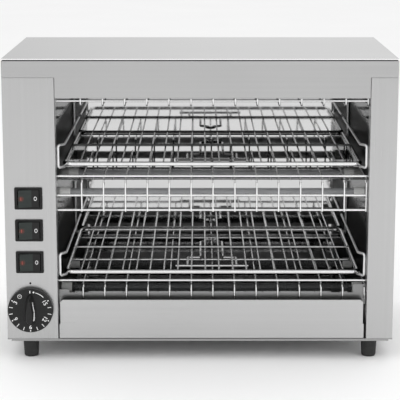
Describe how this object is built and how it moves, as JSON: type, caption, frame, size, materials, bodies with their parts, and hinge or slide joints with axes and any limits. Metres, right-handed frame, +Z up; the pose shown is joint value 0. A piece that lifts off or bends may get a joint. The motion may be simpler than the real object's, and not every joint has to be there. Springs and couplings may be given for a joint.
{
  "type": "two-tier quartz toaster oven",
  "caption": "Counter-top stainless toaster oven with quartz tubes over and under pull-out wire racks, rocker switches, a wind-up timer and a crumb tray.",
  "frame": {"origin": "middle of the footprint at the level of the worktop, under the feet", "axes": "+X to the right seen from the front, -Y towards the user, +Z up"},
  "size_m": [0.445, 0.302, 0.35],
  "materials": {
    "satin_steel": "fine satin brushed stainless",
    "bright_liner": "bright reflective stainless",
    "wire_chrome": "bright plated wire",
    "quartz": "milky quartz",
    "ceramic": "matte white",
    "heater_wire": "oxidised resistance wire",
    "terminal_metal": "plain",
    "foot_rubber": "matte black",
    "dial_black": "fine satin black with white figures",
    "switch_black": "gloss black",
    "rocker_smoke": "smoked gloss lens",
    "zinc_steel": "plain zinc plated",
    "gland_black": "moulded black",
    "block_white": "off-white moulded"
  },
  "bodies": {
    "housing": {"back_panel": "satin_steel", "back_screws": "zinc_steel", "base_plate": "satin_steel", "bottom_ceramic_caps": "ceramic", "bottom_guard": "wire_chrome", "bottom_heating_coils": "heater_wire", "bottom_quartz_tubes": "quartz", "bottom_switch_body": "switch_black", "bottom_terminal_studs": "terminal_metal", "cable_gland": "gland_black", "cross_rail": "bright_liner", "foot_screws": "zinc_steel", "gland_nut": "gland_black", "header_panel": "satin_steel", "left_side_case": "satin_steel", "liner_back": "bright_liner", "liner_left": "bright_liner", "liner_right": "bright_liner", "lower_left_guide": "wire_chrome", "lower_right_guide": "wire_chrome", "middle_ceramic_caps": "ceramic", "middle_guard_cage": "wire_chrome", "middle_heating_coils": "heater_wire", "middle_quartz_tubes": "quartz", "middle_switch_body": "switch_black", "middle_terminal_studs": "terminal_metal", "right_side_case": "satin_steel", "rubber_feet": "foot_rubber", "terminal_block": "block_white", "timer_body": "zinc_steel", "timer_screws": "zinc_steel", "top_ceramic_caps": "ceramic", "top_cover": "satin_steel", "top_guard": "wire_chrome", "top_heating_coils": "heater_wire", "top_quartz_tubes": "quartz", "top_reflector": "bright_liner", "top_switch_body": "switch_black", "top_terminal_studs": "terminal_metal", "tray_runners": "zinc_steel", "upper_left_guide": "wire_chrome", "upper_right_guide": "wire_chrome"},
    "upper_rack": {"upper_rack_grid": "wire_chrome", "upper_rack_grip": "wire_chrome"},
    "lower_rack": {"lower_rack_grid": "wire_chrome", "lower_rack_grip": "wire_chrome"},
    "crumb_tray": {"crumb_tray_front": "satin_steel", "crumb_tray_pan": "bright_liner"},
    "timer_dial": {"timer_knob": "dial_black", "timer_shaft": "zinc_steel"},
    "top_switch": {"top_rocker": "rocker_smoke"},
    "middle_switch": {"middle_rocker": "rocker_smoke"},
    "bottom_switch": {"bottom_rocker": "rocker_smoke"}
  },
  "joints": [
    {"name": "upper_rack_slide", "type": "slide", "parent": "housing", "child": "upper_rack", "axis": [0, -1, 0], "range_m": [0, 0.2]},
    {"name": "lower_rack_slide", "type": "slide", "parent": "housing", "child": "lower_rack", "axis": [0, -1, 0], "range_m": [0, 0.2]},
    {"name": "crumb_tray_slide", "type": "slide", "parent": "housing", "child": "crumb_tray", "axis": [0, -1, 0], "range_m": [0, 0.19]},
    {"name": "timer_turn", "type": "hinge", "parent": "housing", "child": "timer_dial", "pos_m": [-0.1948, -0.13, 0.0614], "axis": [0, 1, 0], "range_deg": [-35, 300]},
    {"name": "bottom_switch_tilt", "type": "hinge", "parent": "housing", "child": "bottom_switch", "pos_m": [-0.1948, -0.1298, 0.1171], "axis": [0, 0, -1], "range_deg": [0, 12]},
    {"name": "middle_switch_tilt", "type": "hinge", "parent": "housing", "child": "middle_switch", "pos_m": [-0.1948, -0.1298, 0.1543], "axis": [0, 0, -1], "range_deg": [0, 12]},
    {"name": "top_switch_tilt", "type": "hinge", "parent": "housing", "child": "top_switch", "pos_m": [-0.1948, -0.1298, 0.1915], "axis": [0, 0, -1], "range_deg": [0, 12]}
  ]
}
